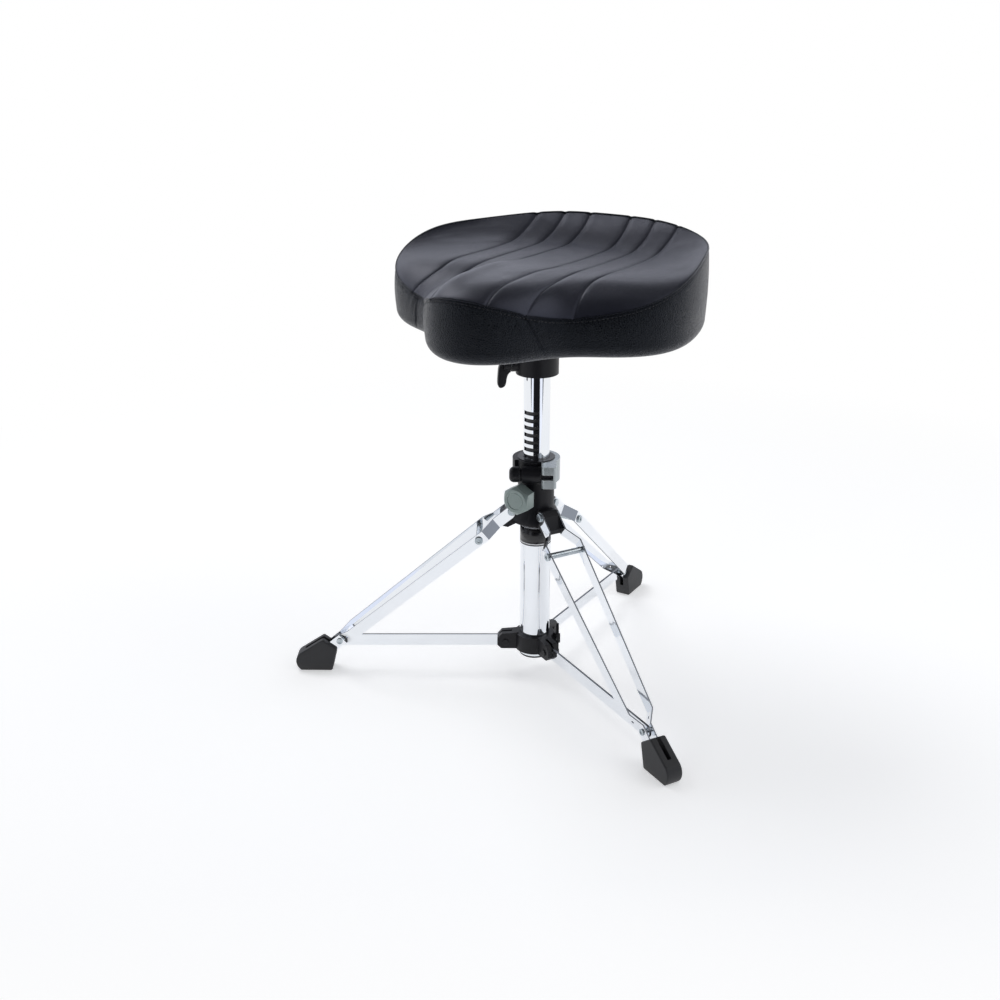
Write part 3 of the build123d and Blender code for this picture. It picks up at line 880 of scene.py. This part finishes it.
def thicken(obj, depth):
    """Give a panel a thickness in metres, inwards from its surface."""
    solid = obj.modifiers.new("leather_thickness", "SOLIDIFY")
    solid.thickness = depth
    solid.offset = -1
    solid.use_even_offset = False


def grid_normals(points):
    """Outward unit normals of a ring grid."""
    around_ring = np.roll(points, -1, axis=1) - np.roll(points, 1, axis=1)
    along_ring = np.gradient(points, axis=0)
    normal = np.cross(along_ring, around_ring)
    return normal / np.maximum(np.linalg.norm(normal, axis=2, keepdims=True), 1e-12)


def build_cushion():
    """Gives the side panel's points.
    """
    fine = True
    angle_count, ring_step = FINE_GRID if fine else QUICK_GRID
    top = to_frame(*top_grid(angle_count, ring_step))
    side = to_frame(*side_grid(angle_count))
    if fine:
        rest, move = simulate_pad()
        top = swell(top, rest, move)
        side = swell(side, rest, move)
    # the two panels share the rim seam
    side[0] = top[-1]
    centre = on_axis(0.0)
    centre[2] = top[0, :, 2].mean()
    top_mesh = grid_mesh("seat_top_panel", top, centre)
    side_mesh = grid_mesh("seat_side_panel", side)
    top_panel = new_object("seat_top_panel", top_mesh, MATERIALS["leather_top"])
    side_panel = new_object("seat_side_panel", side_mesh, MATERIALS["leather_side"])
    for panel, slot in ((top_panel, "leather_top"), (side_panel, "leather_side")):
        thicken(panel, LEATHER_THICKNESS)
        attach(panel, "seat")
    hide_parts("seat_top_cover", "seat_foam")
    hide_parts("seat_side_band", "seat_welt")
    return side


def sew_rim(side):
    """The row of stitches round the side, just below the rim seam."""
    count = side.shape[1]
    angle = np.linspace(0, 2 * math.pi, count, endpoint=False)
    height = series(RIM_SERIES, angle) - EDGE_DROP
    _, _, below = side_profile(height)
    normals = grid_normals(side)
    numbers = np.arange(len(below))
    rows = [np.interp(TOP_STITCH_DROP, below[:, i], numbers) for i in range(count)]
    path = np.array([sample(side, rows[i], angle[i]) for i in range(count)])
    up = np.array([sample(normals, rows[i], angle[i]) for i in range(count)])
    path = np.concatenate([path, path[:1]])
    up = np.concatenate([up, up[:1]])
    stitches("rim_top_stitch", path, up, length=0.0034, gap=0.0014, radius=0.00042)


def underside_ring(inset, count):
    """A ring under the seat at an inset from its outline: its angles, U and V."""
    angle = np.linspace(0, 2 * math.pi, count, endpoint=False)
    radius = outline(angle) - inset
    return angle, radius * np.cos(angle), radius * np.sin(angle)


def build_underside():
    """The dust cover under the seat, sagging a little and stapled round its edge."""
    count, rings = 360, 60
    angle, edge_u, edge_v = underside_ring(CLOTH_INSET, count)
    share = (np.arange(1, rings + 1) / rings)[:, None]
    u, v = share * edge_u, share * edge_v
    radius = np.hypot(u, v)
    free = np.clip((radius - FLANGE_CLEAR) / (np.hypot(edge_u, edge_v) - FLANGE_CLEAR), 0, 1)
    # small puckers that run in from the stapled edge
    pull = 0.35 * np.sin(36 * angle) * free**3
    z = CLOTH_RISE - CLOTH_SAG * np.sin(math.pi * free) ** 1.5 + pull * (1 - share**40)
    mesh = grid_mesh("seat_dust_cover", to_frame(u, v, z), on_axis(CLOTH_RISE))
    mesh.flip_normals()
    cover = new_object("seat_dust_cover", mesh, MATERIALS["dust_cloth"])
    thicken(cover, depth=0.0005)
    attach(cover, "seat")
    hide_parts("seat_dust_cloth")
    _, staple_u, staple_v = underside_ring(STAPLE_INSET, 4 * count)
    path = to_frame(staple_u, staple_v, np.full_like(staple_u, STAPLE_RISE))
    path = np.concatenate([path, path[:1]])
    down = np.tile([0.0, 0.0, -1.0], (len(path), 1))
    stitches("seat_staples", path, down, length=0.011, gap=0.019, radius=0.0006, finish="zinc_steel")


sew_rim(build_cushion())
build_underside()


# studio

MIDDLE_OF_THRONE = (0, 0, 0.4)


def studio_world():
    """White backdrop for the camera, and a studio with a dark front wall for reflections."""
    world = bpy.data.worlds.new("studio")
    bpy.context.scene.world = world
    world.use_nodes = True
    tree = world.node_tree
    tree.nodes.clear()
    direction = add(tree, "SeparateXYZ", {"Vector": add(tree, "TexCoord").outputs["Generated"]})
    x, y, z = (direction.outputs[axis] for axis in "XYZ")
    azimuth = calc(tree, "ARCTAN2", x, calc(tree, "MULTIPLY", y, -1.0))
    share = calc(tree, "ADD", calc(tree, "DIVIDE", azimuth, 2 * math.pi), 0.5)
    white, cool = (1.0, 1.03, 1.14), (0.62, 0.66, 0.74)
    grey, dark = (0.30, 0.32, 0.36), (0.010, 0.010, 0.012)
    # going round from behind the throne, with the camera at 0.5: panels of light and dark in between
    stops = [
        (0.0, white), (0.20, white), (0.25, cool), (0.312, cool), (0.316, grey), (0.352, dark), (0.367, dark),
        (0.371, white), (0.412, white), (0.418, dark), (0.567, dark), (0.571, white), (0.625, white),
        (0.633, dark), (0.66, grey), (0.686, grey), (0.69, cool), (0.76, cool), (0.82, white), (1.0, white),
    ]
    bands = ramp(tree, share, stops)
    height = span(tree, z, 0, 1)
    overhead = ramp(tree, height, [(0.42, (0,)), (0.62, (1,))])
    ceiling = ramp(tree, height, [(0.45, (0.5,)), (0.62, (0.16,)), (0.9, (0.12,)), (0.97, (0.55,))])
    colour = mixed(tree, overhead, bands, ceiling)
    seen = add(tree, "LightPath").outputs["Is Camera Ray"]
    studio = add(tree, "Background", {"Color": colour, "Strength": 1.0})
    backdrop = add(tree, "Background", {"Color": (1, 1, 1, 1), "Strength": 1.0})
    blend = add(tree, "MixShader", {0: seen, 1: studio.outputs[0], 2: backdrop.outputs[0]})
    add(tree, "OutputWorld", {"Surface": blend.outputs[0]})


def studio_floor():
    """A pale floor that fades to white.

    It ends in front of the throne, so that the post mirrors a dark room.
    """
    mesh = bpy.data.meshes.new("floor")
    side, front_edge, back_edge = 9, -0.8, 14
    corners = [(-side, front_edge, 0), (side, front_edge, 0), (side, back_edge, 0), (-side, back_edge, 0)]
    mesh.from_pydata(corners, [], [(0, 1, 2, 3)])
    mat = material("pale_floor")
    tree = mat.node_tree
    speckle = noise(tree, position(tree), 0.004, 4)
    colour = mixed(tree, speckle, (0.88, 0.885, 0.89), (0.92, 0.925, 0.93))
    diffuse = add(tree, "BsdfDiffuse", {"Color": colour})
    glow = add(tree, "Emission", {"Color": (1, 1, 1, 1), "Strength": 0.42})
    lit = add(tree, "AddShader", {0: diffuse.outputs[0], 1: glow.outputs[0]}).outputs[0]
    away = add(tree, "VectorMath", {0: position(tree)}, operation="LENGTH").outputs["Value"]
    far = share_between(tree, away, 0.5, 1.5)
    front = share_between(tree, coordinate(tree, position(tree), "Y"), -0.45, -0.78)
    white = add(tree, "Emission", {"Color": (1, 1, 1, 1), "Strength": 1.0})
    blend = {0: calc(tree, "MAXIMUM", far, front), 1: lit, 2: white.outputs[0]}
    output(tree, add(tree, "MixShader", blend).outputs[0])
    floor = new_object("floor", mesh, mat)


def soft_light(name, place, aim, size, power):
    data = bpy.data.lights.new(name, "AREA")
    data.shape = "DISK"
    data.size = size
    data.energy = power
    light = bpy.data.objects.new(name, data)
    light.location = place
    way = Vector([a - b for a, b in zip(aim, place)])
    light.rotation_euler = way.to_track_quat("-Z", "Y").to_euler()
    bpy.context.scene.collection.objects.link(light)


def studio_camera():
    """The camera at the photograph's viewing angle."""
    data = bpy.data.cameras.new("camera")
    data.lens = 47.04
    data.sensor_width = 36
    camera = bpy.data.objects.new("camera", data)
    camera.location = (-0.0194, -1.5779, 0.8661)
    camera.rotation_euler = (math.radians(68.57), 0.0, 0.0172)
    bpy.context.scene.collection.objects.link(camera)
    bpy.context.scene.camera = camera


studio_world()
studio_floor()
soft_light("key", (-1.1, 0.9, 2.3), MIDDLE_OF_THRONE, size=1.4, power=18)
soft_light("fill", (1.6, -0.4, 1.6), MIDDLE_OF_THRONE, size=1.6, power=8)
studio_camera()
bpy.context.scene.view_settings.view_transform = "Standard"
